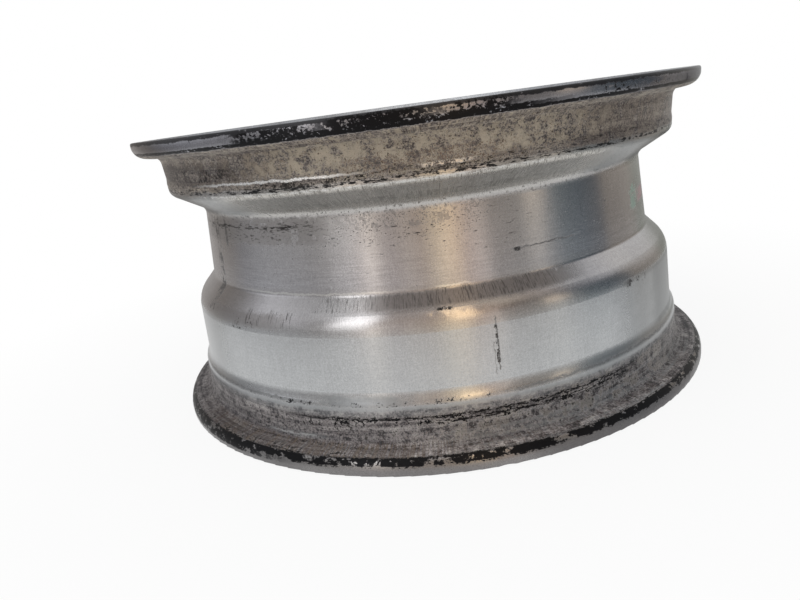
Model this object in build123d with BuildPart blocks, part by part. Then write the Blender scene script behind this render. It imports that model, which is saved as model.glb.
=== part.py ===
from build123d import *
from math import cos, radians, sin, tan
import os

# One-piece cast alloy road wheel with its snap-in tyre valve, in millimetres.
# The wheel lies on its inboard flange with its face up. The origin is the centre of the hub's
# mounting face, +Z runs outboard along the wheel's axis, and the valve is at the +Y side.

# Rim, from the tyre's side. Heights are measured inwards from the nearer flange.
bead_radius = 202.8
rim_width = 190.5
flange_height = 18.0
flange_thickness = 11.9
flange_curve = 8.9
flange_edge_round = 1.5
bead_corner_round = 6.2
seat_taper = 5.0
seat_width = 17.0
hump_run = 4.0
hump_height = 0.4
hump_round = 6.0
outboard_shoulder_radius = 201.3
outboard_shoulder_run = 7.6
outboard_shoulder_round = 6.2
well_top_radius = 177.3
well_top_run = 14.3
well_top_round = 8.2
well_bottom_radius = 181.6
well_width = 54.2
well_bottom_round = 3.2
barrel_top_radius = 196.6
barrel_top_run = 15.2
barrel_top_round = 18.4
barrel_bottom_radius = 198.2
barrel_bottom_rise = 31.4
barrel_bottom_round = 10.0
inboard_shoulder_radius = 201.3
inboard_shoulder_run = 6.0
inboard_shoulder_round = 5.0

# Rim, from the hub's side: the wall behind each stretch, and the lip that ends each flange
seat_wall = 7.0
barrel_wall = 6.3
lip_width = 7.3
lip_slope_run = 5.0
lip_round = 2.0
inner_round = 8.0
lip_root_round = 4.0

# Hub: mounting face, centre bore with a cap seat above it, and bolt holes with cone seats
hub_offset = 38.0
bore_radius = 33.55
bore_depth = 27.0
mouth_chamfer = 1.5
cap_seat_radius = 29.5
cap_groove_depth = 1.5
cap_groove_rise = 5.0
cap_groove_width = 2.5
pad_radius = 75.0
hub_height = 42.0
hub_face_radius = 80.0
bolt_circle_radius = 57.15
bolt_count = 5
bolt_hole_radius = 7.5
bolt_seat_radius = 11.5
bolt_seat_angle = 60.0
bolt_recess_radius = 15.0
bolt_floor = 17.0
relief_half_width = 12.0
relief_boss_wall = 9.0
relief_depth = 13.0
relief_round = 3.0

# Spokes: five arms between hub and rim, hollowed from the back
spoke_count = 5
spoke_angle = 54.0
spoke_hub_width = 50.0
spoke_rim_width = 58.0
spoke_back_height = 8.0
spoke_arch = 7.0
spoke_dish = 3.5
face_depth = 10.4
window_hub_gap = 8.0
window_rim_wall = 4.0
window_round = 14.0
spoke_front_round = 3.5
pocket_wall = 11.0
pocket_skin = 12.0
pocket_hub_gap = 14.0
pocket_rim_gap = 12.0
pocket_round = 8.0
pocket_draft = 4.0

# Bruise in the inboard flange's edge
nick_angle = -81.5
nick_length = 13.0
nick_depth = 1.3
nick_reach = 4.0

# Valve: a rubber body pulled through the slope between the outboard hump and the well
valve_angle = 90.0
valve_hole_radius = 5.65
valve_wall = 4.0
valve_spot_radius = 9.6
valve_spot_depth = 0.6
valve_spot_clearance = 14.0
valve_spot_edge = 4.37
head_radius = 9.2
head_thickness = 4.5
head_round = 2.5
shoulder_radius = 7.6
shoulder_height = 2.5
shoulder_round = 2.0
sleeve_end_round = 1.0
rubber_end_radius = 5.2
rubber_length = 22.0
stem_radius = 3.1
stem_foot_radius = 5.0
stem_foot_thickness = 1.5
stem_foot_cover = 1.0
thread_radius = 3.85
thread_length = 12.0
air_passage_radius = 1.3
core_radius = 2.3
core_length = 19.0
core_plug_length = 4.5
core_neck_radius = 1.6
core_seal_length = 2.0
pin_radius = 0.6
pin_length = 1.4
core_recess = 0.6
cap_radius = 4.9
cap_thread_gap = 0.1
cap_top = 2.4
cap_length = 12.5
cap_pin_room = 0.4
cap_flute_count = 12
cap_flute_radius = 0.6
cap_edge_round = 1.0

# Share of a straight stretch that the rounds at its two ends may take, and the least they count for
ROUND_SHARE = 0.98
LEAST_SETBACK = 1e-6


def behind(before, corner, after, wall):
    """The point of the hub's side that lies a wall's thickness behind a corner of the tyre's side."""
    first = (corner - before).normalized().rotate(Axis.Z, -90)
    second = (after - corner).normalized().rotate(Axis.Z, -90)
    return corner + (first + second) * (wall / (1 + first.dot(second)))


def midway(first, second):
    """The point halfway between two points."""
    return (first + second) * 0.5


def fitted_rounds(points, rounds):
    """The radii of a closed outline's rounds, smaller only where a straight stretch can't hold both."""
    count = len(points)
    legs = [(points[(i + 1) % count] - points[i]).length for i in range(count)]
    setbacks = []
    for i in range(count):
        turn = (points[i] - points[i - 1]).get_angle(points[(i + 1) % count] - points[i])
        setbacks.append(rounds[i] * tan(radians(turn / 2)))
    fitted = []
    for i in range(count):
        before = ROUND_SHARE * legs[i - 1] / max(setbacks[i - 1] + setbacks[i], LEAST_SETBACK)
        after = ROUND_SHARE * legs[i] / max(setbacks[i] + setbacks[(i + 1) % count], LEAST_SETBACK)
        fitted.append(rounds[i] * min(1, before, after))
    return fitted


def rounded_outline(corners):
    """A closed line through (point, radius) corners, for the current sketch."""
    points = [point for point, _ in corners]
    FilletPolyline(*points, radius=fitted_rounds(points, [r for _, r in corners]), close=True)


# Heights of the two flanges
outboard_flange = rim_width / 2 - hub_offset
inboard_flange = -rim_width / 2 - hub_offset
face_plane = outboard_flange + flange_thickness
floor_plane = inboard_flange - flange_thickness
flange_radius = bead_radius + flange_height

# Corners of the tyre's side, from the outboard flange down to the inboard one
seat_end_radius = bead_radius - seat_width * tan(radians(seat_taper))
crest_radius = seat_end_radius + hump_height
outboard_edge = Vector(flange_radius, face_plane)
outboard_tip = Vector(flange_radius, outboard_flange)
outboard_bead = Vector(bead_radius, outboard_flange)
outboard_seat_end = Vector(seat_end_radius, outboard_flange - seat_width)
outboard_crest = Vector(crest_radius, outboard_seat_end.Y - hump_run)
outboard_shoulder = Vector(outboard_shoulder_radius, outboard_crest.Y - outboard_shoulder_run)
well_top = Vector(well_top_radius, outboard_shoulder.Y - well_top_run)
well_bottom = Vector(well_bottom_radius, well_top.Y - well_width)
barrel_top = Vector(barrel_top_radius, well_bottom.Y - barrel_top_run)
barrel_bottom = Vector(barrel_bottom_radius, inboard_flange + barrel_bottom_rise)
inboard_crest = Vector(crest_radius, inboard_flange + seat_width + hump_run)
inboard_shoulder = Vector(inboard_shoulder_radius, inboard_crest.Y + inboard_shoulder_run)
inboard_seat_end = Vector(seat_end_radius, inboard_flange + seat_width)
inboard_bead = Vector(bead_radius, inboard_flange)
inboard_tip = Vector(flange_radius, inboard_flange)
inboard_edge = Vector(flange_radius, floor_plane)

# Corners of the hub's side, each behind its own corner of the tyre's side
inner_bead_low = behind(inboard_seat_end, inboard_bead, inboard_tip, seat_wall)
inner_shoulder_bottom = behind(barrel_bottom, inboard_shoulder, inboard_crest, seat_wall)
inner_barrel_low = behind(barrel_top, barrel_bottom, inboard_shoulder, barrel_wall)
inner_barrel_top = behind(well_bottom, barrel_top, barrel_bottom, barrel_wall)
inner_well_low = behind(well_top, well_bottom, barrel_top, barrel_wall)
inner_well_top = behind(outboard_shoulder, well_top, well_bottom, barrel_wall)
inner_shoulder = behind(outboard_crest, outboard_shoulder, well_top, seat_wall)
inner_bead_top = behind(outboard_tip, outboard_bead, outboard_seat_end, seat_wall)
lip_radius = flange_radius - lip_width
lip_foot_radius = lip_radius - lip_slope_run

# Section of the disc between hub and rim. Its edge ends inside the rim's wall.
disc_root = Vector(midway(well_top, inner_well_top).X, spoke_back_height)
disc_rim = Vector(midway(outboard_bead, inner_bead_top).X, face_plane - face_depth)
spoke_mid_radius = (hub_face_radius + disc_root.X) / 2
face_mid = midway(Vector(hub_face_radius, hub_height), disc_rim) - Vector(0, spoke_dish)
window_inner = hub_face_radius + window_hub_gap
rim_inside = min(inner_shoulder.X, inner_bead_top.X)
window_outer = max(rim_inside - window_rim_wall, midway(inner_well_top, inner_shoulder).X)
slope_run = inner_shoulder - inner_well_top
window_foot = inner_well_top + slope_run * ((window_outer - inner_well_top.X) / slope_run.X)

# Sections of the wheel are drawn on a half plane through a spoke, with x outwards and y upwards
spoke_out = Vector(cos(radians(spoke_angle)), sin(radians(spoke_angle)), 0)
wheel_section = Plane(origin=(0, 0, 0), x_dir=spoke_out, z_dir=spoke_out.cross(Vector(0, 0, 1)))

# Space of the windows: the five gaps between the spokes, down to the rim's inner wall
with BuildPart() as window_space:
    with BuildSketch(wheel_section):
        with BuildLine():
            Polyline(
                (window_inner, 0),
                (inner_well_top.X, 0),
                inner_well_top,
                window_foot,
                (window_outer, face_plane),
                (window_inner, face_plane),
                close=True,
            )
        make_face()
    revolve(axis=Axis.Z)
    with BuildSketch(Plane.XY) as windows:
        Circle(window_outer)
        Circle(window_inner, mode=Mode.SUBTRACT)
        with PolarLocations(0, spoke_count, start_angle=spoke_angle):
            Polygon(
                (0, -spoke_hub_width / 2),
                (window_outer, -spoke_rim_width / 2),
                (window_outer + window_inner, -spoke_rim_width / 2),
                (window_outer + window_inner, spoke_rim_width / 2),
                (window_outer, spoke_rim_width / 2),
                (0, spoke_hub_width / 2),
                align=None,
                mode=Mode.SUBTRACT,
            )
        fillet(windows.vertices(), radius=window_round)
    extrude(windows.sketch, amount=face_plane, mode=Mode.INTERSECT)

# The wheel: one casting
with BuildPart() as wheel:
    with BuildSketch(wheel_section) as section:
        with BuildLine():
            Polyline(
                (hub_face_radius, hub_height),
                (0, hub_height),
                (0, 0),
                (pad_radius, 0),
                (hub_face_radius, spoke_back_height),
            )
            ThreePointArc(
                (hub_face_radius, spoke_back_height),
                (spoke_mid_radius, spoke_back_height + spoke_arch),
                disc_root,
            )
            Polyline(
                disc_root,
                midway(well_top, inner_well_top),
                midway(outboard_shoulder, inner_shoulder),
                Vector(disc_rim.X, outboard_flange),
                disc_rim,
            )
            ThreePointArc(disc_rim, face_mid, (hub_face_radius, hub_height))
        make_face()
        with BuildLine():
            rounded_outline(
                [
                    (outboard_edge, flange_edge_round),
                    (outboard_tip, flange_curve),
                    (outboard_bead, bead_corner_round),
                    (outboard_seat_end, hump_round),
                    (outboard_crest, hump_round),
                    (outboard_shoulder, outboard_shoulder_round),
                    (well_top, well_top_round),
                    (well_bottom, well_bottom_round),
                    (barrel_top, barrel_top_round),
                    (barrel_bottom, barrel_bottom_round),
                    (inboard_shoulder, inboard_shoulder_round),
                    (inboard_crest, hump_round),
                    (inboard_seat_end, hump_round),
                    (inboard_bead, bead_corner_round),
                    (inboard_tip, flange_curve),
                    (inboard_edge, flange_edge_round),
                    (Vector(lip_radius, floor_plane), lip_round),
                    (Vector(lip_foot_radius, inner_bead_low.Y), lip_root_round),
                    (inner_bead_low, inner_round),
                    (inner_shoulder_bottom, inner_round),
                    (inner_barrel_low, inner_round),
                    (inner_barrel_top, inner_round),
                    (inner_well_low, inner_round),
                    (inner_well_top, 0),
                    (inner_shoulder, lip_root_round),
                    (inner_bead_top, inner_round),
                    (Vector(lip_foot_radius, inner_bead_top.Y), lip_root_round),
                    (Vector(lip_radius, face_plane), lip_round),
                ]
            )
        make_face()
    revolve(axis=Axis.Z)
    add(window_space.part, mode=Mode.SUBTRACT)
    outlines = wheel.edges(Select.LAST).filter_by(Axis.Z, reverse=True)
    front = outlines.filter_by(lambda edge: edge.center().Z > hub_height - spoke_dish)
    fillet(front, radius=spoke_front_round)

    # Pockets that hollow the spokes from the back
    pocket_start = window_inner + pocket_hub_gap
    pocket_end = inner_well_top.X - pocket_rim_gap
    pocket_floor = hub_height - pocket_skin
    with BuildSketch(Plane.XY) as pockets:
        with PolarLocations(0, spoke_count, start_angle=spoke_angle):
            Polygon(
                (pocket_start, -spoke_hub_width / 2 + pocket_wall),
                (pocket_end, -spoke_rim_width / 2 + pocket_wall),
                (pocket_end, spoke_rim_width / 2 - pocket_wall),
                (pocket_start, spoke_hub_width / 2 - pocket_wall),
                align=None,
            )
        fillet(pockets.vertices(), radius=pocket_round)
    extrude(pockets.sketch, amount=pocket_floor, taper=pocket_draft, mode=Mode.SUBTRACT)

    # Centre bore, the cap's seat above it and the groove that a cap's clips would hold
    with BuildSketch(Plane.XY):
        Circle(bore_radius)
    extrude(amount=bore_depth, mode=Mode.SUBTRACT)
    chamfer(wheel.edges(Select.LAST).sort_by(Axis.Z)[0], length=mouth_chamfer)
    with BuildSketch(Plane.XY.offset(bore_depth)):
        Circle(cap_seat_radius)
    extrude(amount=hub_height - bore_depth, mode=Mode.SUBTRACT)
    chamfer(wheel.edges(Select.LAST).sort_by(Axis.Z)[-1], length=mouth_chamfer)
    with BuildSketch(Plane.XY.offset(bore_depth + cap_groove_rise)):
        Circle(cap_seat_radius + cap_groove_depth)
    extrude(amount=cap_groove_width, mode=Mode.SUBTRACT)

    # Bolt holes with cone seats, each at the bottom of its own recess
    with Locations(Plane.XY.offset(bolt_floor)):
        with PolarLocations(bolt_circle_radius, bolt_count, start_angle=spoke_angle):
            CounterSinkHole(bolt_hole_radius, bolt_seat_radius, bolt_floor, bolt_seat_angle)
    with BuildSketch(Plane.XY.offset(bolt_floor)):
        with PolarLocations(bolt_circle_radius, bolt_count, start_angle=spoke_angle):
            Circle(bolt_recess_radius)
    extrude(amount=hub_height - bolt_floor, mode=Mode.SUBTRACT)

    # Reliefs cast into the mounting face between the bolt holes
    with BuildSketch(Plane.XY) as reliefs:
        Circle(bolt_circle_radius + relief_half_width)
        Circle(bolt_circle_radius - relief_half_width, mode=Mode.SUBTRACT)
        with PolarLocations(bolt_circle_radius, bolt_count, start_angle=spoke_angle):
            Circle(bolt_hole_radius + relief_boss_wall, mode=Mode.SUBTRACT)
        fillet(reliefs.vertices(), radius=relief_round)
    extrude(reliefs.sketch, amount=relief_depth, mode=Mode.SUBTRACT)

    # Bruise in the edge of the inboard flange
    nick_radius = (nick_length**2 / 4 + nick_depth**2) / (2 * nick_depth)
    nick_direction = Vector(cos(radians(nick_angle)), sin(radians(nick_angle)), 0)
    nick_centre = nick_direction * (flange_radius - nick_reach) + Vector(
        0, 0, floor_plane + nick_depth - nick_radius
    )
    with BuildSketch(Plane(origin=nick_centre, z_dir=nick_direction)):
        Circle(nick_radius)
    extrude(amount=2 * nick_reach, mode=Mode.SUBTRACT)

    # Valve hole, spot-faced on both sides
    valve_out = Vector(cos(radians(valve_angle)), sin(radians(valve_angle)), 0)
    slope = (well_top - outboard_shoulder).normalized()
    slope_normal = slope.rotate(Axis.Z, -90)
    valve_axis = valve_out * slope_normal.X + Vector(0, 0, slope_normal.Y)
    seat_corner = well_top - slope * (valve_spot_radius + valve_spot_edge)
    seat_point = seat_corner + slope_normal * valve_spot_depth
    valve_seat = valve_out * seat_point.X + Vector(0, 0, seat_point.Y)
    valve_across = Vector(0, 0, 1).cross(valve_out)
    seat_plane = Plane(origin=valve_seat, x_dir=valve_across, z_dir=valve_axis)
    with BuildSketch(seat_plane):
        Circle(valve_spot_radius)
    extrude(amount=-valve_spot_clearance, mode=Mode.SUBTRACT)
    with BuildSketch(seat_plane.offset(valve_wall)):
        Circle(valve_spot_radius)
    extrude(amount=valve_spot_clearance, mode=Mode.SUBTRACT)
    with BuildSketch(seat_plane):
        Circle(valve_hole_radius)
    extrude(amount=valve_wall, mode=Mode.SUBTRACT)
wheel.part.label = "wheel"

# The valve's sections are drawn with x across the valve and y along it, from its seat on the rim
valve_section = Plane(origin=valve_seat, x_dir=valve_across, z_dir=valve_across.cross(valve_axis))
valve_line = Axis(valve_seat, valve_axis)
foot_start = stem_foot_cover - head_thickness
foot_end = foot_start + stem_foot_thickness
rubber_end = valve_wall + rubber_length
stem_end = rubber_end + thread_length
core_end = stem_end - core_recess
core_start = core_end - core_length
seal_start = core_end - core_plug_length - 2 * core_seal_length

# Rubber body: head inside the tyre, neck in the hole, shoulder and tapered sleeve outside
with BuildPart() as valve_body:
    with BuildSketch(valve_section):
        with BuildLine():
            rounded_outline(
                [
                    (Vector(stem_radius, foot_end), 0),
                    (Vector(stem_foot_radius, foot_end), 0),
                    (Vector(stem_foot_radius, foot_start), 0),
                    (Vector(stem_radius, foot_start), 0),
                    (Vector(stem_radius, -head_thickness), 0),
                    (Vector(head_radius, -head_thickness), head_round),
                    (Vector(head_radius, 0), 0),
                    (Vector(valve_hole_radius, 0), 0),
                    (Vector(valve_hole_radius, valve_wall), 0),
                    (Vector(shoulder_radius, valve_wall), 0),
                    (Vector(shoulder_radius, valve_wall + shoulder_height), shoulder_round),
                    (Vector(rubber_end_radius, rubber_end), sleeve_end_round),
                    (Vector(stem_radius, rubber_end), 0),
                ]
            )
        make_face()
    revolve(axis=valve_line)
valve_body.part.label = "valve_body"

# Brass stem: foot held in the rubber, sleeve, threaded end, air passage and chamber for the core
with BuildPart() as valve_stem:
    with BuildSketch(valve_section):
        with BuildLine():
            Polyline(
                (air_passage_radius, foot_start),
                (stem_foot_radius, foot_start),
                (stem_foot_radius, foot_end),
                (stem_radius, foot_end),
                (stem_radius, rubber_end),
                (thread_radius, rubber_end),
                (thread_radius, stem_end),
                (core_radius, stem_end),
                (core_radius, core_start),
                (air_passage_radius, core_start),
                close=True,
            )
        make_face()
    revolve(axis=valve_line)
valve_stem.part.label = "valve_stem"

# Valve core: a sealed insert with a plug, a neck, a seal band and a pin that shows at the top
with BuildPart() as valve_core:
    with BuildSketch(valve_section):
        with BuildLine():
            Polyline(
                (0, core_start),
                (core_neck_radius, core_start),
                (core_neck_radius, seal_start),
                (core_radius, seal_start),
                (core_radius, seal_start + core_seal_length),
                (core_neck_radius, seal_start + core_seal_length),
                (core_neck_radius, core_end - core_plug_length),
                (core_radius, core_end - core_plug_length),
                (core_radius, core_end),
                (pin_radius, core_end),
                (pin_radius, core_end + pin_length),
                (0, core_end + pin_length),
                close=True,
            )
        make_face()
    revolve(axis=valve_line)
valve_core.part.label = "valve_core"

# Screwed dust cap with a fluted skirt, seated on the stem's end
with BuildPart() as valve_cap:
    cap_base = stem_end + cap_top - cap_length
    cap_room = core_end + pin_length + cap_pin_room
    with BuildSketch(valve_section) as cap_section:
        with BuildLine():
            Polyline(
                (thread_radius + cap_thread_gap, cap_base),
                (cap_radius, cap_base),
                (cap_radius, stem_end + cap_top),
                (0, stem_end + cap_top),
                (0, cap_room),
                (core_radius, cap_room),
                (core_radius, stem_end),
                (thread_radius + cap_thread_gap, stem_end),
                close=True,
            )
        make_face()
    revolve(axis=valve_line)
    cap_rim = valve_cap.edges().filter_by(GeomType.CIRCLE).sort_by(valve_line)[-1]
    fillet(cap_rim, radius=min(cap_edge_round, ROUND_SHARE * cap_top))
    with BuildSketch(seat_plane.offset(cap_base)):
        with PolarLocations(cap_radius, cap_flute_count):
            Circle(cap_flute_radius)
    extrude(amount=cap_length - cap_top, mode=Mode.SUBTRACT)
valve_cap.part.label = "valve_cap"

os.makedirs("parts", exist_ok=True)
for piece in (wheel, valve_body, valve_stem, valve_core, valve_cap):
    export_step(piece.part, f"parts/{piece.part.label}.step")
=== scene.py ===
import math

import bpy
from mathutils import Matrix, Vector


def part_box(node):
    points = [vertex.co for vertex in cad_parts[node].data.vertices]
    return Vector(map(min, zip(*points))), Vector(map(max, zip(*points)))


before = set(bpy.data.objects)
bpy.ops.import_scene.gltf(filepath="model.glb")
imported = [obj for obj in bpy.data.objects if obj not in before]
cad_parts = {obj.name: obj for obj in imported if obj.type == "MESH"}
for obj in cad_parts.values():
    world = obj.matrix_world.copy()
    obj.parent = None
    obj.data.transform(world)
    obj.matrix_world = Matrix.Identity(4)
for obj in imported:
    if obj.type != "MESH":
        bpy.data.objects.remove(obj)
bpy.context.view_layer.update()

MM = 0.001

# Heights on the wheel are in millimetres above the floor that its inboard flange rests on
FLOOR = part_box("wheel")[0][2]
WHEEL_HEIGHT = (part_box("wheel")[1][2] - FLOOR) / MM

# Radii in millimetres: of the patterns that run round the wheel, and of the seats' outer corners
GRAIN_RADIUS = 200.0
SEAT_CORNER_RADIUS = 203.5

# Scale of a pattern that is drawn out: along the axis, less so, round the wheel, and less so
ALONG_SCALE = 0.06
SHORT_SCALE = 0.12
ROUND_SCALE = 0.04
WIDE_SCALE = 0.24

# Camera of the photograph, fitted to the rim's outline: lengths in millimetres, turns in degrees
IMAGE_WIDTH = 800
FOCAL_PIXELS = 655.4
SENSOR_MM = 36.0
CAMERA_DISTANCE = 568.6
CAMERA_HEIGHT = 216.7
CAMERA_YAW = 2.989
CAMERA_PITCH = -16.595
CAMERA_ROLL = 7.866
NEAREST_SEEN = 10.0

# The Mix node's sockets for colours, where they come out, and its sockets for numbers
COLOUR_A, COLOUR_B, COLOUR_OUT = 6, 7, 2
NUMBER_A, NUMBER_B = 2, 3


def linear(hex_colour):
    """An sRGB hex colour as the linear RGBA that shaders take."""
    channels = [int(hex_colour[i : i + 2], 16) / 255 for i in (1, 3, 5)]
    shares = [c / 12.92 if c <= 0.04045 else ((c + 0.055) / 1.055) ** 2.4 for c in channels]
    return (*shares, 1.0)


def tone(value):
    """A hex colour as linear RGBA, or a plain number as a grey of that strength."""
    return linear(value) if isinstance(value, str) else (value, value, value, 1.0)


def add(tree, kind, inputs=None, out=0, stops=None, **settings):
    """Adds a node, sets it, fills or links its inputs, and returns one of its outputs."""
    made = tree.nodes.new("ShaderNode" + kind)
    for name, value in settings.items():
        setattr(made, name, value)
    for key, value in (inputs or {}).items():
        if isinstance(value, bpy.types.NodeSocket):
            tree.links.new(value, made.inputs[key])
        else:
            made.inputs[key].default_value = value
    if stops:
        ramp = made.color_ramp.elements
        ramp[0].position, ramp[0].color = stops[0][0], tone(stops[0][1])
        ramp[-1].position, ramp[-1].color = stops[-1][0], tone(stops[-1][1])
        for place, value in stops[1:-1]:
            ramp.new(place).color = tone(value)
    return made.outputs[out]


def new_material(name):
    """An empty node material and its tree."""
    material = bpy.data.materials.new(name)
    material.use_nodes = True
    material.node_tree.nodes.clear()
    return material, material.node_tree


def finish_with(tree, shader):
    """Links a shader to the material's output."""
    output = tree.nodes.new("ShaderNodeOutputMaterial")
    tree.links.new(shader, output.inputs["Surface"])


def times(tree, *values):
    """The product of two or more values."""
    product = values[0]
    for value in values[1:]:
        product = add(tree, "Math", {0: product, 1: value}, operation="MULTIPLY")
    return product


def plus(tree, *values):
    """The sum of two or more values."""
    total = values[0]
    for value in values[1:]:
        total = add(tree, "Math", {0: total, 1: value}, operation="ADD")
    return total


def where(tree, *limits):
    """The share, from 0 to 1, past all the limits: a value, where it starts and where it is full."""
    steps = []
    for value, start, full in limits:
        inputs = {"Value": value, "From Min": start, "From Max": full}
        steps.append(
            add(tree, "MapRange", inputs, interpolation_type="SMOOTHSTEP", clamp=False)
        )
    return times(tree, *steps)


def between(tree, value, low, high, soft):
    """1 where a value lies between two limits, with soft edges."""
    return where(tree, (value, low - soft, low + soft), (value, high + soft, high - soft))


def swing(tree, pattern, width):
    """A pattern as a value that swings about 0, half that width each way at most."""
    return times(tree, plus(tree, pattern, -0.5), width)


def noises(tree, at, table):
    """Cloudy noises about 0.5, from the places that they read, grain in mm, seed and finish."""
    made = {}
    for name, (place, size, seed, detail, rough) in table.items():
        inputs = {
            "Vector": at[place], "W": seed, "Scale": 1.0 / size,
            "Detail": detail, "Roughness": rough,
        }
        made[name] = add(tree, "TexNoise", inputs, noise_dimensions="4D")
    return made


def lay(tree, look, share, colour, height=None, **finish):
    """Lays a coat over a look where its share is 1: colour, thickness in mm, metal and rough."""
    colour = linear(colour) if isinstance(colour, str) else colour
    inputs = {"Factor": share, COLOUR_A: look["colour"], COLOUR_B: colour}
    look["colour"] = add(tree, "Mix", inputs, out=COLOUR_OUT, data_type="RGBA")
    for name, value in finish.items():
        if value != look[name]:
            inputs = {"Factor": share, NUMBER_A: look[name], NUMBER_B: value}
            look[name] = add(tree, "Mix", inputs)
    if height is not None:
        look["height"] = plus(tree, look["height"], times(tree, share, height))


def dress(node, material, tree, look, own=None):
    """Ends a material with its look and its own inputs, and puts it on a CAD node."""
    bump = add(tree, "Bump", {"Strength": 1.0, "Distance": MM, "Height": look["height"]})
    inputs = {
        "Base Color": look["colour"],
        "Metallic": look["metal"],
        "Roughness": look["rough"],
        "Normal": bump,
    }
    finish_with(tree, add(tree, "BsdfPrincipled", {**inputs, **(own or {})}))
    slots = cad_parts[node].data.materials
    slots.clear()
    slots.append(material)


def places(tree):
    """Object coordinates in millimetres."""
    metres = add(tree, "TexCoord", out="Object")
    return add(tree, "VectorMath", {0: metres, "Scale": 1 / MM}, operation="SCALE")


def degrees_round(tree, x, y):
    """Angle round the axis in degrees, from the middle of the photographed side towards +X."""
    angle = add(tree, "Math", {0: x, 1: times(tree, y, -1.0)}, operation="ARCTAN2")
    return times(tree, angle, math.degrees(1.0))


def wheel_places(tree):
    """What the wheel's patterns read: height, radius, angle, run, and places of several scales.

    The run is the height, plus or minus what the flanges stand out past the seats' corners, so
    that it goes on evenly over them. Places lie on a drum, so that a pattern keeps its size.
    """
    place = places(tree)
    x, y, z = add(tree, "SeparateXYZ", {0: place}).node.outputs
    flat = add(tree, "CombineXYZ", {0: x, 1: y})
    out = add(tree, "VectorMath", {0: flat}, operation="NORMALIZE")
    drum = add(tree, "VectorMath", {0: out, "Scale": GRAIN_RADIUS}, operation="SCALE")
    drum_x, drum_y, _ = add(tree, "SeparateXYZ", {0: drum}).node.outputs
    radius = add(tree, "VectorMath", {0: flat}, out="Value", operation="LENGTH")
    along = add(tree, "CombineXYZ", {0: drum_x, 1: drum_y, 2: times(tree, z, ALONG_SCALE)})
    short = add(tree, "CombineXYZ", {0: drum_x, 1: drum_y, 2: times(tree, z, SHORT_SCALE)})
    height = plus(tree, z, -FLOOR / MM)
    past_seat = add(
        tree, "Math", {0: plus(tree, radius, -SEAT_CORNER_RADIUS), 1: 0.0}, operation="MAXIMUM"
    )
    upward = add(tree, "Math", {0: plus(tree, height, -WHEEL_HEIGHT / 2)}, operation="SIGN")
    run = plus(tree, height, times(tree, upward, past_seat))
    surface = add(tree, "CombineXYZ", {0: drum_x, 1: drum_y, 2: run})
    turned_scale = (ROUND_SCALE, ROUND_SCALE, 1.0)
    turned = add(tree, "VectorMath", {0: surface, 1: turned_scale}, operation="MULTIPLY")
    wide_scale = (WIDE_SCALE, WIDE_SCALE, 1.0)
    wide = add(tree, "VectorMath", {0: surface, 1: wide_scale}, operation="MULTIPLY")
    return {
        "height": height,
        "place": place,
        "run": run,
        "radius": radius,
        "angle": degrees_round(tree, x, y),
        "along": along,
        "short": short,
        "surface": surface,
        "turned": turned,
        "wide": wide,
    }


def seen(tree):
    """1 for what the eye, metal and glass see, and 0 for the light that falls on the object."""
    path = add(tree, "LightPath").node.outputs
    kinds = [path["Is Camera Ray"], path["Is Glossy Ray"], path["Is Transmission Ray"]]
    return add(tree, "Math", {0: plus(tree, *kinds), 1: 1.0}, operation="MINIMUM")


# Camera
def turn(axis, degrees):
    """A rotation about one axis."""
    return Matrix.Rotation(math.radians(degrees), 3, axis)


pose = turn("Z", CAMERA_YAW) @ turn("X", CAMERA_PITCH) @ turn("Y", CAMERA_ROLL)
camera_place = Vector((0, -CAMERA_DISTANCE * MM, FLOOR + CAMERA_HEIGHT * MM))
lens = bpy.data.cameras.new("camera")
lens.sensor_fit = "HORIZONTAL"
lens.sensor_width = SENSOR_MM
lens.lens = FOCAL_PIXELS / IMAGE_WIDTH * SENSOR_MM
lens.clip_start = NEAREST_SEEN * MM
camera = bpy.data.objects.new("camera", lens)
bpy.context.scene.collection.objects.link(camera)
right, forward, up = (pose @ Vector(axis) for axis in ((1, 0, 0), (0, 1, 0), (0, 0, 1)))
facing = Matrix([(right[i], up[i], -forward[i]) for i in range(3)]).to_4x4()
camera.matrix_world = Matrix.Translation(camera_place) @ facing
bpy.context.scene.camera = camera

# Cast aluminium, turned on the tyre's side. It is bright along a fine lengthwise grain, which draws
# reflections out along the wheel's axis, and dull where the tyre has left rubber, oxide and dirt.
# Some coats below add painted shade and painted highlights.
alloy, tree = new_material("turned_cast_aluminium")
at = wheel_places(tree)
height, radius, angle, run = at["height"], at["radius"], at["angle"], at["run"]

# Tyre's side, told from the hub's side by the radius of the middle of the wall at each height
MIDDLE_OF_WALL = [
    (0.0, 216.5), (9.6, 216.5), (10.8, 199.3), (28.9, 197.8), (38.9, 197.8), (44.0, 194.8),
    (83.0, 193.6), (95.0, 189.0), (107.0, 178.4), (157.0, 174.2), (162.0, 178.0), (173.0, 196.0),
    (181.4, 198.0), (202.0, 199.3), (204.4, 199.3), (206.0, 217.0), (213.9, 217.0), (214.3, 219.8),
]
WALL_SCALE = 250.0
WALL_BLEND = 0.8
level = times(tree, height, 1 / WHEEL_HEIGHT)
wall_stops = [(h / WHEEL_HEIGHT, middle / WALL_SCALE) for h, middle in MIDDLE_OF_WALL]
wall_tone = add(tree, "RGBToBW", {0: add(tree, "ValToRGB", {0: level}, stops=wall_stops)})
middle_of_wall = times(tree, wall_tone, WALL_SCALE)
past_wall = plus(tree, radius, times(tree, middle_of_wall, -1.0))
bare = where(tree, (past_wall, -WALL_BLEND, WALL_BLEND))

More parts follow.
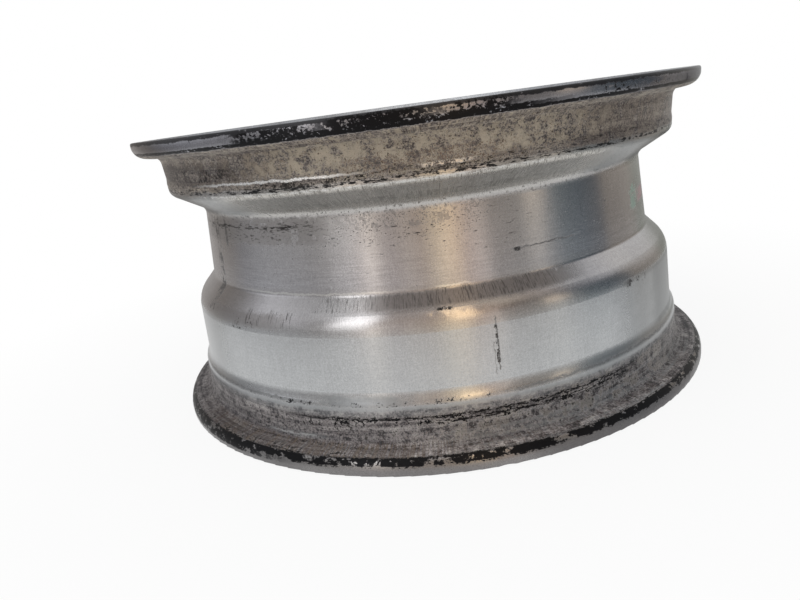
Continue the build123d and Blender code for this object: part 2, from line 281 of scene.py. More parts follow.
# Patterns: the places that they read, their grain in mm, seed, detail and roughness. The turned
# grain, tool lines, grit and paint flakes of the real wheel are 0.02 to 0.2 mm wide, finer than a
# pixel, so they are drawn 0.5 to 1.1 mm wide.
NOISES = {
    "clouds": ("surface", 26.0, 4.0, 3.0, 0.6),
    "blotches": ("surface", 7.0, 5.0, 6.0, 0.65),
    "specks": ("surface", 1.8, 6.0, 4.0, 0.7),
    "grit": ("surface", 0.9, 9.0, 2.0, 0.6),
    "grain": ("along", 1.1, 1.0, 3.0, 0.6),
    "fine grain": ("along", 0.5, 2.0, 2.0, 0.6),
    "tool lines": ("turned", 1.0, 3.0, 3.0, 0.7),
    "flecks": ("wide", 1.1, 7.0, 5.0, 0.65),
    "streaks": ("along", 1.4, 8.0, 4.0, 0.7),
    "scuffs": ("short", 0.6, 10.0, 3.0, 0.6),
    "bands": ("turned", 2.4, 12.0, 3.0, 0.6),
    "flakes": ("place", 0.8, 11.0, 1.0, 0.6),
    "settled dust": ("place", 22.0, 13.0, 6.0, 0.62),
}
MIXTURES = {
    "crumbs": {"specks": 0.55, "blotches": 0.45},
    "dots": {"specks": 0.45, "grit": 0.55},
    "upper seat": {"specks": 0.28, "grit": 0.32, "blotches": 0.24, "bands": 0.16},
    "lower seat": {"specks": 0.3, "grit": 0.16, "blotches": 0.36, "bands": 0.18},
}
patterns = noises(tree, at, NOISES)
for mixture, parts in MIXTURES.items():
    shares = [times(tree, patterns[name], share) for name, share in parts.items()]
    patterns[mixture] = plus(tree, *shares)

# Run and angle with uneven edges, which wander by up to half of these millimetres or degrees
WANDER_OF_BLOTCHES, WANDER_OF_SPECKS = 4.0, 3.0
FRAY, WAVER = 8.0, 1.2
ragged = plus(
    tree,
    run,
    swing(tree, patterns["blotches"], WANDER_OF_BLOTCHES),
    swing(tree, patterns["specks"], WANDER_OF_SPECKS),
)
frayed = plus(tree, angle, swing(tree, patterns["blotches"], FRAY))
wavering = plus(tree, angle, swing(tree, patterns["specks"], WAVER))

look = {"colour": linear("#b7b8b6"), "metal": 1.0, "rough": 0.22, "height": 0.0}

# Lacquered side: cast, blasted and sprayed silver, with fine flakes. Brake dust lies in the barrel
# and on the spokes, the lip's top edge is dark, partly scraped on kerbs and partly painted shade,
# and the hub's mounting face is bare metal. The dark edge wanders by EDGE_WANDER in millimetres,
# and rust grows with the radius. Each coat has its colour, metal, roughness, cover, and the limits
# past which it lies.
SILVER = [(0.0, "#94969a"), (1.0, "#bcbec1")]
EDGE_WANDER = 8.0
RUST_OUTWARDS = 0.002
values = {
    **patterns,
    "height": height,
    "radius": radius,
    "past wall": past_wall,
    "wandering radius": plus(tree, radius, swing(tree, patterns["streaks"], EDGE_WANDER)),
    "rusting": plus(tree, patterns["settled dust"], times(tree, radius, RUST_OUTWARDS)),
}
HUB_SIDE = ("past wall", WALL_BLEND, -WALL_BLEND)
HUB_FACE = [("radius", 82.0, 78.0), ("height", 143.8, 144.2), ("height", 146.6, 146.2)]
HUB_SIDE_COATS = [
    ("brake dust of the barrel", "#4b443d", 0.1, 0.75, 1.0, [
        HUB_SIDE, ("height", 186.0, 120.0), ("settled dust", 0.1, 0.6),
    ]),
    ("dust of the spokes", "#6f6860", 0.1, 0.6, 0.3, [
        HUB_SIDE, ("height", 150.0, 200.0), ("settled dust", 0.48, 0.66),
    ]),
    # Dark ring on the lip's top face: kerb scrapes, and painted shade along the top edge
    ("kerbed edge and painted shade", "#2c2c31", 0.3, 0.62, 0.9, [
        ("height", 213.2, 213.9), ("wandering radius", 213.5, 216.0),
    ]),
    ("bare mounting face", "#8f8b86", 0.95, 0.3, 1.0, HUB_FACE),
    ("rust of the mounting face", "#5c3d2a", 0.1, 0.8, 1.0, [
        *HUB_FACE, ("rusting", 0.58, 0.66),
    ]),
]
silver = add(tree, "ValToRGB", {0: where(tree, (patterns["flakes"], 0.3, 0.7))}, stops=SILVER)
lacquer = where(tree, (past_wall, WALL_BLEND, -WALL_BLEND))
lay(tree, look, lacquer, silver, metal=0.7, rough=0.36)
for _, coat, metal, rough, cover, limits in HUB_SIDE_COATS:
    share = where(tree, *((values[name], start, full) for name, start, full in limits))
    lay(tree, look, times(tree, share, cover), coat, metal=metal, rough=rough)

# Turned metal of the tyre's side: its colour by the share of the wheel's height, the strength of
# the patterns that lighten and darken it, and their depth in millimetres
TURNED_COLOURS = [
    (0.0, "#8a8888"), (0.045, "#92908f"), (0.06, "#a2a2a3"), (0.14, "#a4a4a4"), (0.165, "#b6b7b8"),
    (0.205, "#b7b9ba"), (0.39, "#b6b8b9"), (0.425, "#b2b1b2"), (0.49, "#aeadae"), (0.52, "#b4b4b7"),
    (0.73, "#b6b4b3"), (0.76, "#c6c4be"), (0.81, "#c2bfb9"), (0.84, "#a19f9d"), (0.94, "#a09e9c"),
    (0.955, "#8f8f94"), (1.0, "#8f8f94"),
]
CONTRASTS = {"grain": 0.18, "fine grain": 0.16, "clouds": 0.14, "grit": 0.7, "specks": 0.3}
TOOL_CONTRAST, TOOL_CONTRAST_OF_WELL = 0.22, 0.45
DEPTHS = {"fine grain": 0.02, "grit": 0.012}
TOOL_DEPTH = 0.03
GRIT_ROUGHNESS = 0.12
lay(tree, look, bare, add(tree, "ValToRGB", {0: level}, stops=TURNED_COLOURS))
lower_well = between(tree, height, 107.0, 128.0, 6.0)
tool_contrast = plus(tree, TOOL_CONTRAST, times(tree, lower_well, TOOL_CONTRAST_OF_WELL))
brightness = plus(
    tree,
    *(swing(tree, patterns[name], width) for name, width in CONTRASTS.items()),
    swing(tree, patterns["tool lines"], tool_contrast),
)
light = plus(tree, 1.0, times(tree, brightness, bare))
look["colour"] = add(tree, "HueSaturation", {"Color": look["colour"], "Value": light})
roughening = times(tree, bare, swing(tree, patterns["grit"], GRIT_ROUGHNESS))
look["rough"] = plus(tree, look["rough"], roughening)
relief = plus(
    tree,
    *(swing(tree, patterns[name], depth) for name, depth in DEPTHS.items()),
    times(tree, swing(tree, patterns["tool lines"], TOOL_DEPTH), lower_well),
)
look["height"] = times(tree, bare, relief)

# Bead seats: a skin of oxide, old bead paste and rubber dust, banded by the turning under it.
# Each has its mixture, the run that it covers, its soft edge in mm, and its tones.
SEATS = [
    ("upper seat", 178.6, 219.5, 0.8, [
        (0.0, "#47403f"), (0.22, "#716963"), (0.45, "#958b83"), (0.7, "#aca297"), (1.0, "#cdc2b1"),
    ]),
    ("lower seat", -3.8, 35.0, 1.2, [
        (0.0, "#1c1a1d"), (0.22, "#585354"), (0.46, "#8f8988"), (0.72, "#b0aaa8"), (1.0, "#e2ddd8"),
    ]),
]
SEAT_COVER = 0.93
CRUST = 0.12
for mixture, low, high, soft, skin_tones in SEATS:
    tones = where(tree, (patterns[mixture], 0.41, 0.59))
    skin = add(tree, "ValToRGB", {0: tones}, stops=skin_tones)
    seat = times(tree, bare, between(tree, ragged, low, high, soft))
    lay(tree, look, times(tree, seat, SEAT_COVER), skin, metal=0.25, rough=0.55)
    look["height"] = plus(tree, look["height"], times(tree, seat, tones, CRUST))

# Coats in the order in which they lie: colour, metal, roughness, softness in mm, and their places.
# A place has its run in mm (see wheel_places), its angles in degrees (see degrees_round), the
# pattern that breaks it up, the level at which that pattern starts, and how much it covers.
ALL_ROUND = (-200, 200)
COATS = [
    ("dulled metal and painted shade", "#86898b", 0.8, 0.42, 2.0, [
        # Painted shade: the slope, barrel and foot darken at their ends towards the sides, and the
        # bright line round the foot and a highlight on it are toned down. The other spots are dull
        # patches, bands and wiped strips.
        ("left end of the slope", 158.0, 176.0, -100, -38, "grit", 0.3, 0.75),
        ("right end of the slope", 158.0, 176.0, 36, 100, "grit", 0.3, 0.85),
        ("oval stain on the slope", 162.5, 173.0, -36, 33, "streaks", 0.34, 0.3),
        ("right of the lower seat", 8.0, 37.0, 0, 62, "crumbs", 0.48, 0.4),
        ("bands of the lower seat, right", -2.0, 24.0, -4, 64, "bands", 0.5, 0.65),
        ("foot, left of the middle", 37.5, 44.0, -23, -7, "grit", 0.3, 0.75),
        ("top of the lower seat", 31.0, 38.0, *ALL_ROUND, "grit", 0.35, 0.5),
        ("wiped strip of the lower seat, right", 11.5, 15.0, -2, 46, "flecks", 0.42, 0.7),
        ("wiped strip of the lower seat, left", 14.5, 17.5, -37, -24, "flecks", 0.42, 0.7),
        ("line of the foot", 34.5, 38.0, *ALL_ROUND, "grit", 0.3, 0.5),
        ("right of the barrel", 42.0, 86.0, 40, 110, "grit", 0.3, 0.5),
        ("far right of the barrel", 42.0, 86.0, 49, 110, "specks", 0.3, 0.85),
        ("left of the barrel", 42.0, 86.0, -110, -50, "grit", 0.3, 0.4),
        ("right end of the foot", 34.0, 45.0, 26, 110, "grit", 0.2, 0.45),
        ("left end of the foot", 34.0, 45.0, -110, -40, "grit", 0.2, 0.35),
    ]),
    ("dark oxide and painted shade", "#38363c", 0.3, 0.6, 2.5, [
        # Painted shade: the upper lip, lower seat and slope darken at their ends towards the sides.
        # The lower lip's edge is darker, most on the right. The other spots are oxide.
        ("left of the upper seat", 184.0, 196.0, -76, -29, "crumbs", 0.465, 0.65),
        ("left of the lower seat", 6.0, 24.0, -50, -12, "blotches", 0.48, 0.45),
        ("under the upper lip", 198.0, 207.0, -32, 36, "blotches", 0.5, 0.6),
        ("steel-grey patches of the lower seat", 6.0, 22.0, 4, 50, "blotches", 0.52, 0.45),
        ("right end of the upper lip", 220.0, 231.0, 47, 120, "grit", 0.3, 0.85),
        ("left end of the lower seat", -4.0, 37.0, -110, -45, "crumbs", 0.42, 0.4),
        ("right end of the lower seat", -4.0, 37.0, 50, 110, "crumbs", 0.42, 0.3),
        ("right of the hump", 177.0, 186.0, 24, 62, "grit", 0.3, 0.35),
        ("left tip of the slope", 158.0, 176.0, -110, -52, "grit", 0.3, 0.4),
        ("right tip of the slope", 158.0, 176.0, 52, 110, "grit", 0.3, 0.4),
        ("edge of the lower lip, right", -20.0, -8.0, 14, 110, "grit", 0.3, 0.42),
        ("edge of the lower lip, left", -20.0, -8.0, -110, -24, "grit", 0.3, 0.25),
        ("edge of the lower lip, middle", -20.0, -10.5, -22, 8, "grit", 0.3, 0.2),
    ]),
    ("bead paste", "#bdb09b", 0.05, 0.6, 0.6, [
        ("middle of the upper seat", 184.5, 201.0, -27, 31, "crumbs", 0.47, 0.65),
        ("hump, middle", 179.5, 184.5, -14, 13, "crumbs", 0.46, 0.6),
        ("flange over it", 202.0, 218.0, -26, 30, "streaks", 0.53, 0.65),
        ("thick patches of the upper seat", 186.0, 200.0, -30, 34, "blotches", 0.52, 0.6),
        ("crumbs of the hump", 181.0, 186.0, -24, 26, "dots", 0.53, 0.7),
        ("flange of the lower seat", -3.0, 12.5, -50, -2, "scuffs", 0.53, 0.4),
        ("right of the lower seat", 12.0, 33.0, -4, 54, "blotches", 0.5, 0.15),
    ]),
    ("brown grime", "#503f34", 0.15, 0.6, 1.6, [
        ("ramp", 97.0, 105.0, -12, 27, "clouds", 0.34, 0.5),
        ("top of the well, left", 139.0, 157.0, -66, -18, "blotches", 0.4, 0.32),
        ("top of the well, middle", 146.0, 157.0, -18, 16, "crumbs", 0.5, 0.3),
        ("left of the upper seat", 179.0, 202.0, -48, -22, "blotches", 0.48, 0.4),
        ("right of the upper seat", 179.0, 202.0, 28, 75, "blotches", 0.42, 0.4),
        ("specks at the top of the well", 138.0, 156.0, -20, 14, "grit", 0.6, 0.85),
        ("flange of the lower seat, left", -3.0, 14.0, -60, 2, "scuffs", 0.46, 0.55),
        ("flange of the lower seat, right", -3.0, 10.0, 2, 60, "scuffs", 0.5, 0.4),
        ("brown dashes of the well", 126.0, 152.0, -12, 20, "flecks", 0.595, 0.7),
        ("crest, left", 86.0, 95.0, -58, -31, "grit", 0.3, 0.36),
        ("well, all round", 108.0, 156.0, *ALL_ROUND, "specks", 0.67, 0.8),
        ("barrel, all round", 46.0, 86.0, *ALL_ROUND, "specks", 0.69, 0.6),
    ]),
    ("dried bead paste", "#d9c9b4", 0.05, 0.6, 1.2, [
        ("patches of the upper seat", 186.0, 200.0, -30, 34, "blotches", 0.535, 0.3),
        ("crumbs of the upper seat", 184.0, 201.0, -30, 34, "dots", 0.545, 0.45),
        ("lower seat", 14.0, 30.0, -34, 4, "crumbs", 0.575, 0.4),
    ]),
    ("red-brown rust dust", "#5b3f30", 0.1, 0.7, 0.5, [
        ("upper seat, middle", 180.0, 200.0, -28, 32, "dots", 0.56, 0.75),
        ("veins of the upper seat", 181.0, 191.0, -12, 16, "dots", 0.505, 0.75),
        ("flange over the seat", 202.0, 214.0, -26, 30, "scuffs", 0.56, 0.5),
        ("lower seat, left", 12.0, 28.0, -44, 8, "dots", 0.565, 0.6),
        ("well under the slope", 140.0, 156.0, -4, 12, "dots", 0.6, 0.8),
    ]),
    ("dirt in scratches", "#221e1c", 0.3, 0.6, 0.5, [
        ("dashes of the hump", 177.5, 184.0, -66, 66, "flecks", 0.545, 0.8),
        ("strokes of the slope", 161.0, 176.0, -38, 33, "scuffs", 0.565, 0.5),
        ("outline of the stain", 164.0, 166.5, -22, 24, "flecks", 0.52, 0.55),
        ("blotches of the upper seat", 184.0, 200.0, -30, 34, "specks", 0.6, 0.7),
        ("scuffs of the ramp, left", 97.5, 105.5, -23, -6, "scuffs", 0.555, 0.5),
        ("scuffs of the ramp, right", 97.5, 105.5, -8, 25, "scuffs", 0.53, 0.55),
        ("flange over the seat", 202.0, 218.0, *ALL_ROUND, "scuffs", 0.56, 0.6),
        ("scuffs under the crest, left", 87.5, 97.0, -43, -28, "streaks", 0.56, 0.8),
        ("smudge under the crest, left", 84.0, 92.5, -45.5, -38.5, "crumbs", 0.53, 0.9),
        ("smudge under the crest, right", 80.5, 86.5, 41.0, 48.0, "crumbs", 0.5, 0.8),
        ("lower edge of the stain", 162.5, 167.0, -28, 22, "scuffs", 0.51, 0.55),
        ("mottle of the slope", 160.0, 176.0, -38, 34, "crumbs", 0.51, 0.3),
        ("left edge of the stain", 164.0, 174.0, -36, -16, "scuffs", 0.58, 0.45),
        ("grit of the slope", 159.0, 176.0, *ALL_ROUND, "grit", 0.58, 0.4),
        ("grit of the fillet", 156.0, 160.0, *ALL_ROUND, "specks", 0.56, 0.5),
        ("fine scratches of the well", 108.0, 156.0, *ALL_ROUND, "flecks", 0.65, 0.5),
        ("scuff line of the well", 149.6, 151.2, -66, -24, "flecks", 0.5, 0.9),
        ("crumbs of the scuff line", 147.0, 153.5, -64, -20, "flecks", 0.545, 0.75),
        ("second scuff line", 141.5, 146.5, -54, -26, "flecks", 0.545, 0.65),
        ("grit of the well, left", 130.0, 155.0, -62, -14, "grit", 0.61, 0.7),
        ("black part of the scuff line, left", 149.2, 151.6, -54, -48, "flecks", 0.46, 0.95),
        ("black part of the scuff line, right", 149.5, 151.4, -36, -27, "flecks", 0.47, 0.95),
        ("line under the slope", 155.0, 156.2, *ALL_ROUND, "flecks", 0.58, 0.6),
        ("flecks under the scuff line", 138.0, 149.0, -64, 4, "flecks", 0.6, 0.8),
        ("flecks of the well, lower", 112.0, 138.0, -60, 40, "flecks", 0.66, 0.7),
        ("scratch of the well, right", 121.6, 122.4, 17.5, 31, "flecks", 0.4, 0.7),
        ("nick at the end of that scratch", 120.8, 123.0, 17.2, 18.6, "specks", 0.4, 0.9),
        ("dark streak, far left", 90.0, 156.0, -58.8, -55.8, "crumbs", 0.48, 0.7),
        ("dark streak, left", 136.0, 158.0, -52.2, -51.0, "crumbs", 0.46, 0.6),
        ("scratch of the barrel", 53.0, 88.0, 10.4, 10.6, "grit", 0.2, 0.55),
        ("deep part of that scratch", 58.0, 82.0, 10.2, 10.8, "specks", 0.49, 0.9),
        ("scratch beside it", 50.0, 72.0, 9.7, 9.85, "grit", 0.4, 0.4),
        ("scuff line of the well, rough", 148.6, 152.0, -60, -24, "crumbs", 0.56, 0.8),
        ("line round the foot, right", 38.8, 40.2, 10, 56, "flecks", 0.4, 0.4),
        ("line round the foot, left", 38.8, 40.4, -64, -26, "flecks", 0.42, 0.4),
        ("lower flange, dark mass, left", -3.0, 8.0, -54, -8, "crumbs", 0.5, 0.7),
    ]),
    ("rubber", "#07070c", 0.6, 0.5, 0.35, [
        # The lip's top edge is black all round: rubber flecks, and painted shade along that edge.
        ("top edge of the upper lip, rubber and painted shade", 229.2, 236.0, *ALL_ROUND, "flecks", 0.34, 0.9),
        ("line of the upper lip", 219.8, 223.2, *ALL_ROUND, "crumbs", 0.4, 1.0),
        ("thicker in the middle", 219.8, 225.6, -26, 22, "crumbs", 0.42, 1.0),
        ("upper lip, middle", 221.0, 231.0, -14, 4, "crumbs", 0.425, 1.0),
        ("upper lip, left", 222.0, 230.0, -28, -12, "crumbs", 0.455, 1.0),
        ("upper lip, right", 222.0, 231.0, 3, 15, "crumbs", 0.465, 1.0),
        ("upper lip, far right", 222.0, 229.5, 27, 37, "crumbs", 0.52, 1.0),
        ("upper lip, all round", 221.0, 230.0, *ALL_ROUND, "crumbs", 0.58, 0.9),
        ("dark blotches of the upper seat", 185.0, 193.0, -56, -32, "crumbs", 0.52, 0.8),
        ("under the hump, all round", 176.4, 178.6, *ALL_ROUND, "flecks", 0.48, 0.95),
        ("hump, middle", 178.0, 182.5, -36, 18, "crumbs", 0.505, 0.9),
        ("foot of the barrel", 38.2, 41.0, -40, 12, "crumbs", 0.53, 0.95),
        ("dots of the crest", 94.6, 96.2, 0.5, 3.2, "specks", 0.42, 0.95),
        ("first line of the lower seat", 28.2, 30.2, -28, 39, "flecks", 0.455, 1.0),
        ("second line of the lower seat", 25.0, 27.2, -6, 40, "flecks", 0.46, 1.0),
        ("black crumbs of the lower seat", 24.0, 31.5, -32, 42, "crumbs", 0.515, 1.0),
        ("lower seat, all round", 8.0, 33.0, *ALL_ROUND, "crumbs", 0.56, 0.85),
        ("lower seat, left", 10.0, 26.0, -46, -10, "crumbs", 0.52, 0.85),
        ("band of the lower flange", -9.4, -2.4, *ALL_ROUND, "blotches", 0.415, 1.0),
        ("ragged edge of that band", -10.4, -0.6, *ALL_ROUND, "crumbs", 0.5, 1.0),
        ("thicker part of that band", -8.6, -1.6, -28, 10, "crumbs", 0.45, 1.0),
        ("lower part of that band, left", -13.0, -6.0, -100, -32, "crumbs", 0.44, 1.0),
        ("patches of the lower flange", -5.0, 4.0, -62, -14, "crumbs", 0.53, 0.9),
    ]),
    ("polished metal", "#d6d6d4", 1.0, 0.2, 0.3, [
        # Painted highlights: the light colour of the thin bright lines on the hump's flank and at
        # the foot of the well, over a smooth finish. The smears and the rub are polished metal.
        ("painted highlight, flank of the hump, left", 182.0, 183.4, -42, -10.5, "grit", 0.1, 0.9),
        ("painted highlight, flank of the hump, middle", 181.5, 183.6, 0.5, 9, "crumbs", 0.46, 0.8),
        ("painted highlight, foot of the well, left", 106.2, 107.4, -43, -8, "grit", 0.1, 0.8),
        ("painted highlight, foot of the well, middle", 106.2, 107.4, 1, 8, "grit", 0.1, 0.8),
        ("smears under the hump", 174.6, 176.2, -46, 26, "flecks", 0.48, 0.6),
        ("rub along the lower seat", 15.5, 16.6, -36, -26, "flecks", 0.4, 0.5),
    ]),
    ("green crayon", "#74a287", 0.0, 0.7, 1.5, [
        ("well, right", 124.0, 141.0, 54.5, 59.5, "blotches", 0.44, 0.55),
    ]),
    ("red crayon", "#b0666c", 0.0, 0.7, 1.5, [
        ("well, far right", 126.0, 136.0, 60.5, 69.0, "blotches", 0.42, 0.5),
    ]),
]
PATTERN_EDGE = 0.04
NARROW_SPOT = 6
WIDEST_FADE, SHARE_OF_FADE = 7.0, 1 / 5
for _, coat, metal, rough, soft, spots in COATS:
    share = 0.0
    for _, low, high, first, last, pattern, start, cover in spots:
        broken = where(tree, (patterns[pattern], start, start + PATTERN_EDGE))
        spot = times(tree, between(tree, ragged, low, high, soft), broken, cover)
        if (first, last) != ALL_ROUND:
            side = wavering if last - first < NARROW_SPOT else frayed
            fade = min(WIDEST_FADE, (last - first) * SHARE_OF_FADE)
            spot = times(tree, spot, between(tree, side, first, last, fade))
        share = add(tree, "Math", {0: share, 1: spot}, operation="MAXIMUM")
    lay(tree, look, times(tree, bare, share), coat, metal=metal, rough=rough)

# The turned grain stretches reflections along the axis, a quarter turn from its round tangent
GRAIN = {
    "Anisotropic": 0.95,
    "Anisotropic Rotation": 0.25,
    "Tangent": add(tree, "Tangent", direction_type="RADIAL", axis="Z"),
}
dress("wheel", alloy, tree, look, GRAIN)


# Valve: its rubber, plastic and brass
def small_part(
    node, material, tones, metal, rough, marks, marks_metal, marks_rough, marks_from, marks_full,
    sizes, depth,
):
    """Gives a valve piece two tones in clouds, marks in specks, and a fine grain in relief."""
    made, tree = new_material(material)
    clouds, specks, skin = noises(
        tree,
        {"place": places(tree)},
        {
            "clouds": ("place", sizes[0], 21.0, 4.0, 0.6),
            "specks": ("place", sizes[1], 22.0, 5.0, 0.6),
            "skin": ("place", sizes[2], 23.0, 2.0, 0.6),
        },
    ).values()
    cloudy = where(tree, (clouds, 0.3, 0.7))
    look = {
        "colour": add(tree, "ValToRGB", {0: cloudy}, stops=[(0.0, tones[0]), (1.0, tones[1])]),
        "metal": metal,
        "rough": plus(tree, rough, swing(tree, skin, 0.3)),
        "height": times(tree, skin, depth),
    }
    share = where(tree, (specks, marks_from, marks_full))
    lay(tree, look, share, marks, height=depth, metal=marks_metal, rough=marks_rough)
    dress(node, made, tree, look)


# Moulded synthetic rubber: deep grey and matt, with a pebbled skin and pale dust in its pores.
# Here and below, sizes are those of clouds, specks and skin in mm, and depth is their relief.
small_part(
    "valve_body", "moulded_rubber", tones=("#1d1d1f", "#29292b"), metal=0.0, rough=0.62,
    marks="#6d6861", marks_metal=0.0, marks_rough=0.85, marks_from=0.52, marks_full=0.66,
    sizes=(6.0, 1.1, 0.35), depth=0.03,
)
# Drawn and turned brass, tarnished brown, with a dry film of dirt
small_part(
    "valve_stem", "turned_brass", tones=("#8a6c3c", "#b8965c"), metal=1.0, rough=0.34,
    marks="#4d3d28", marks_metal=0.4, marks_rough=0.6, marks_from=0.5, marks_full=0.62,
    sizes=(4.0, 0.9, 0.3), depth=0.01,
)
# Turned brass core, newer and paler than the stem that it screws into
small_part(
    "valve_core", "turned_pale_brass", tones=("#b09a6a", "#cdb988"), metal=1.0, rough=0.28,
    marks="#6b5836", marks_metal=0.5, marks_rough=0.5, marks_from=0.54, marks_full=0.66,
    sizes=(2.0, 0.6, 0.2), depth=0.005,
)
# Moulded ABS plastic cap: black with a soft gloss, greyed by road dust
small_part(
    "valve_cap", "moulded_abs", tones=("#161617", "#222224"), metal=0.0, rough=0.42,
    marks="#5f5b55", marks_metal=0.0, marks_rough=0.8, marks_from=0.54, marks_full=0.68,
    sizes=(5.0, 0.8, 0.25), depth=0.015,
)

# Floor: pale, and whiter to the eye away from the wheel, where its shadow ends. Lengths in metres.
FLOOR_WIDTH = 12
SHADOW_NEAR, SHADOW_END = 0.22, 0.55
WHITE_OF_SHADOW = 0.9
bpy.ops.mesh.primitive_plane_add(size=FLOOR_WIDTH, location=(0, 0, FLOOR))
floor = bpy.context.object
floor.name = "floor"
paper, tree = new_material("pale_floor")
direct = seen(tree)
from_middle = add(tree, "TexCoord", out="Object")
away = add(tree, "VectorMath", {0: from_middle}, out="Value", operation="LENGTH")
white_share = add(
    tree,
    "MapRange",
    {
        "Value": away, "From Min": SHADOW_NEAR, "From Max": SHADOW_END,
        "To Min": WHITE_OF_SHADOW, "To Max": 1.0,
    },
)
shade = add(tree, "BsdfDiffuse", {"Color": linear("#e6e6e4")})
white = add(tree, "Emission", {"Color": linear("#ffffff")})
finish_with(tree, add(tree, "MixShader", {0: times(tree, direct, white_share), 1: shade, 2: white}))
floor.data.materials.append(paper)

# Ring of cards round the wheel, which only its polished metal sees, in metres. The low row is warm
# and cream in front, grey to the left and blue-grey to the right, the high row is pale at the
# sides, and the top row is nearly white. A card has its angle in degrees and its colour, and
# heights are in millimetres above the floor.
RING_RADIUS = 0.5
RING_HEIGHT = 1.2
RING_SIDES = 128
LOW_CARDS = [
    (-180, "#a8a8aa"), (-112, "#b2ada9"), (-98, "#a9a4a0"), (-87, "#aaa9ab"), (-75, "#b6b6b8"),
    (-50, "#b0aeae"), (-41, "#b2aeac"), (-31, "#d2ccc8"), (-25, "#f4e8e0"), (-21, "#fff2e6"),
    (-17, "#e4d8d0"), (-13, "#cdc0ba"), (-7, "#decfc2"), (-2, "#d2bfb0"), (4, "#ffe9cb"),
    (10, "#ffe4c6"), (15, "#e6d0c2"), (21, "#f2e2d6"), (25, "#b8afa8"), (36, "#aea8a2"),
    (44, "#d2cec8"), (49, "#b0b0af"), (56, "#828a8e"), (66, "#6d767d"), (78, "#6e7073"),
    (83, "#948c84"), (104, "#a69f97"), (115, "#979890"), (180, "#a8a8aa"),
]
HIGH_CARDS = [
    (-180, "#a8a8aa"), (-112, "#9c9590"), (-98, "#a09d9c"), (-90, "#d2d2d6"), (-80, "#fafafc"),
    (-60, "#c4c2c2"), (-45, "#c8c6c6"), (-20, "#c8bab0"), (0, "#c2ae9e"), (14, "#ceb298"),
    (22, "#c6aa96"), (32, "#7e746e"), (45, "#908a84"), (58, "#78787e"), (68, "#9a9aa0"),
    (80, "#f2f1f4"), (90, "#fffcf8"), (115, "#f6f7f8"), (180, "#a8a8aa"),
]
TOP_CARDS = [
    (-180, "#d8d8da"), (-75, "#f4f4f6"), (-50, "#ffffff"), (-39, "#f6f4f4"), (-30, "#c8c0bc"),
    (-5, "#d0c4bc"), (15, "#efe0d2"), (35, "#fceedc"), (50, "#e0d2c8"), (62, "#cfc2bb"),
    (69, "#ffffff"), (180, "#d8d8da"),
]
HIGH_FROM = 300.0
TOP_FROM = 460.0
LOWER_AT_SIDES = 2.5
SIDE_ANGLE = 75.0
ROW_BLUR = 55.0
# Lamps, windows and flags: angle, height, half the width in degrees, half the height, colour and
# strength, which takes light away where it is negative
SOFT_BOXES = [
    ("left_window", -33, 450, 8, 200, "#ffffff", 2.3),
    ("far_left_window", -70, 300, 15, 100, "#f4f6ff", 0.35),
    ("left_flag", -92, 160, 20, 70, "#ffffff", -0.13),
    ("middle_flag", 33, 420, 10, 130, "#ffffff", -0.08),
    ("right_flag", 66, 215, 15, 60, "#ffffff", -0.06),
    ("long_left_window", -52, 212, 31, 14, "#ffffff", 0.6),
    ("warm_lamp", 11, 410, 5, 150, "#ffdba8", 2.1),
    ("low_warm_lamp", 6, 212, 7, 14, "#ffdca8", 0.3),
    ("right_lamp", 44.5, 230, 4.5, 60, "#ffdcb0", 0.65),
    ("right_card", 107, 185, 26, 50, "#fffbf8", 0.18),
    ("narrow_pale_card", -21.5, 90, 2.4, 90, "#fff4ea", 0.32),
    ("narrow_cream_card", 8, 90, 3.2, 90, "#ffe4c0", 0.2),
]
FULL_TURN = 360
bpy.ops.mesh.primitive_cylinder_add(
    vertices=RING_SIDES,
    radius=RING_RADIUS,
    depth=RING_HEIGHT,
    end_fill_type="NOTHING",
    location=(0, 0, FLOOR + RING_HEIGHT / 2),
)
card_ring = bpy.context.object
card_ring.name = "card_ring"
card_ring.visible_camera = False
card_ring.visible_diffuse = False
card_ring.visible_shadow = False
card, tree = new_material("soft_cards")
x, y, z = add(tree, "SeparateXYZ", {0: places(tree)}).node.outputs
height = plus(tree, z, RING_HEIGHT / 2 / MM)
angle = degrees_round(tree, x, y)
turned = plus(tree, times(tree, angle, 1 / FULL_TURN), 0.5)
low_row, high_row, top_row = (
    add(
        tree,
        "ValToRGB",
        {0: turned},
        stops=[(degrees / FULL_TURN + 0.5, tint) for degrees, tint in row],
    )
    for row in (LOW_CARDS, HIGH_CARDS, TOP_CARDS)
)
to_side = plus(tree, add(tree, "Math", {0: angle}, operation="ABSOLUTE"), -SIDE_ANGLE)
to_side = add(tree, "Math", {0: to_side, 1: 0.0}, operation="MAXIMUM")
over = plus(tree, height, -HIGH_FROM, times(tree, to_side, LOWER_AT_SIDES))
glow = {"colour": low_row}
lay(tree, glow, where(tree, (over, -ROW_BLUR, ROW_BLUR)), high_row)
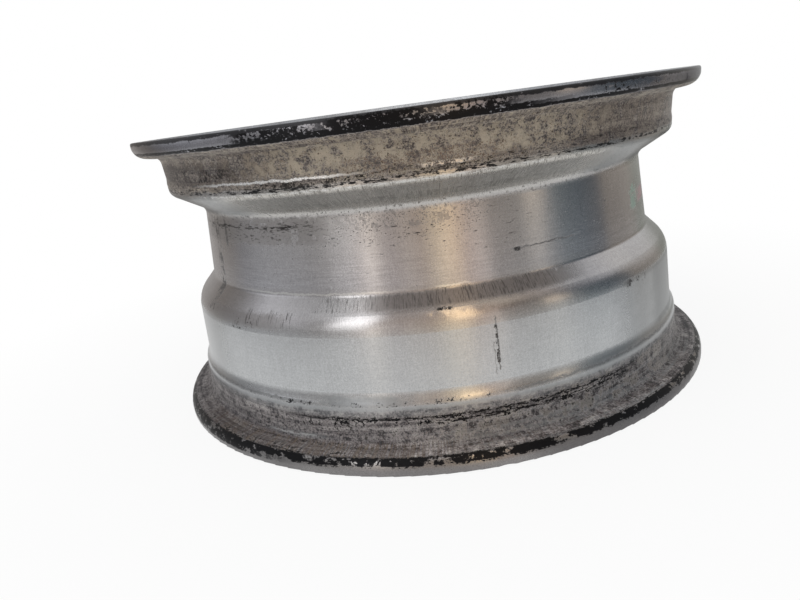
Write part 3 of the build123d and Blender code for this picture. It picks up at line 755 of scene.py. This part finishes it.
lay(tree, glow, where(tree, (height, TOP_FROM - ROW_BLUR, TOP_FROM + ROW_BLUR)), top_row)
cards = glow["colour"]
for _, degrees, middle, half_width, half_height, tint, strength in SOFT_BOXES:
    share = times(
        tree,
        between(tree, angle, degrees - half_width, degrees + half_width, half_width / 2),
        between(tree, height, middle - half_height, middle + half_height, half_height / 2),
        strength,
    )
    box = add(tree, "VectorMath", {0: linear(tint)[:3], "Scale": share}, operation="SCALE")
    cards = add(tree, "VectorMath", {0: cards, 1: box}, operation="ADD")
finish_with(tree, add(tree, "Emission", {"Color": cards}))
card_ring.data.materials.append(card)

# Large soft lamp overhead, a little to the left, aimed at the foot of the wheel: metres and watts
LAMP_WIDTH = 1.4
LAMP_POWER = 9.5
LAMP_ACROSS, LAMP_FORWARD, LAMP_HEIGHT = -0.3, -0.52, 1.7
LAMP_AIM_HEIGHT = 0.1
light = bpy.data.lights.new("overhead", "AREA")
light.size = LAMP_WIDTH
light.energy = LAMP_POWER
lamp = bpy.data.objects.new("overhead", light)
lamp.location = (LAMP_ACROSS, LAMP_FORWARD, FLOOR + LAMP_HEIGHT)
beam = Vector((0, 0, FLOOR + LAMP_AIM_HEIGHT)) - lamp.location
lamp.rotation_euler = beam.to_track_quat("-Z", "Y").to_euler()
lamp.visible_camera = False
bpy.context.scene.collection.objects.link(lamp)

# World: white where the eye, metal and glass see it, and an even pale light on the rest
AMBIENT_STRENGTH = 0.8
world = bpy.data.worlds.new("studio")
bpy.context.scene.world = world
world.use_nodes = True
tree = world.node_tree
tree.nodes.clear()
direct = seen(tree)
ambient = add(tree, "Background", {"Color": linear("#dddfe2"), "Strength": AMBIENT_STRENGTH})
backdrop = add(tree, "Background", {"Color": linear("#ffffff"), "Strength": 1.0})
output = tree.nodes.new("ShaderNodeOutputWorld")
sky = add(tree, "MixShader", {0: direct, 1: ambient, 2: backdrop})
tree.links.new(sky, output.inputs["Surface"])

bpy.context.scene.view_settings.view_transform = "Standard"

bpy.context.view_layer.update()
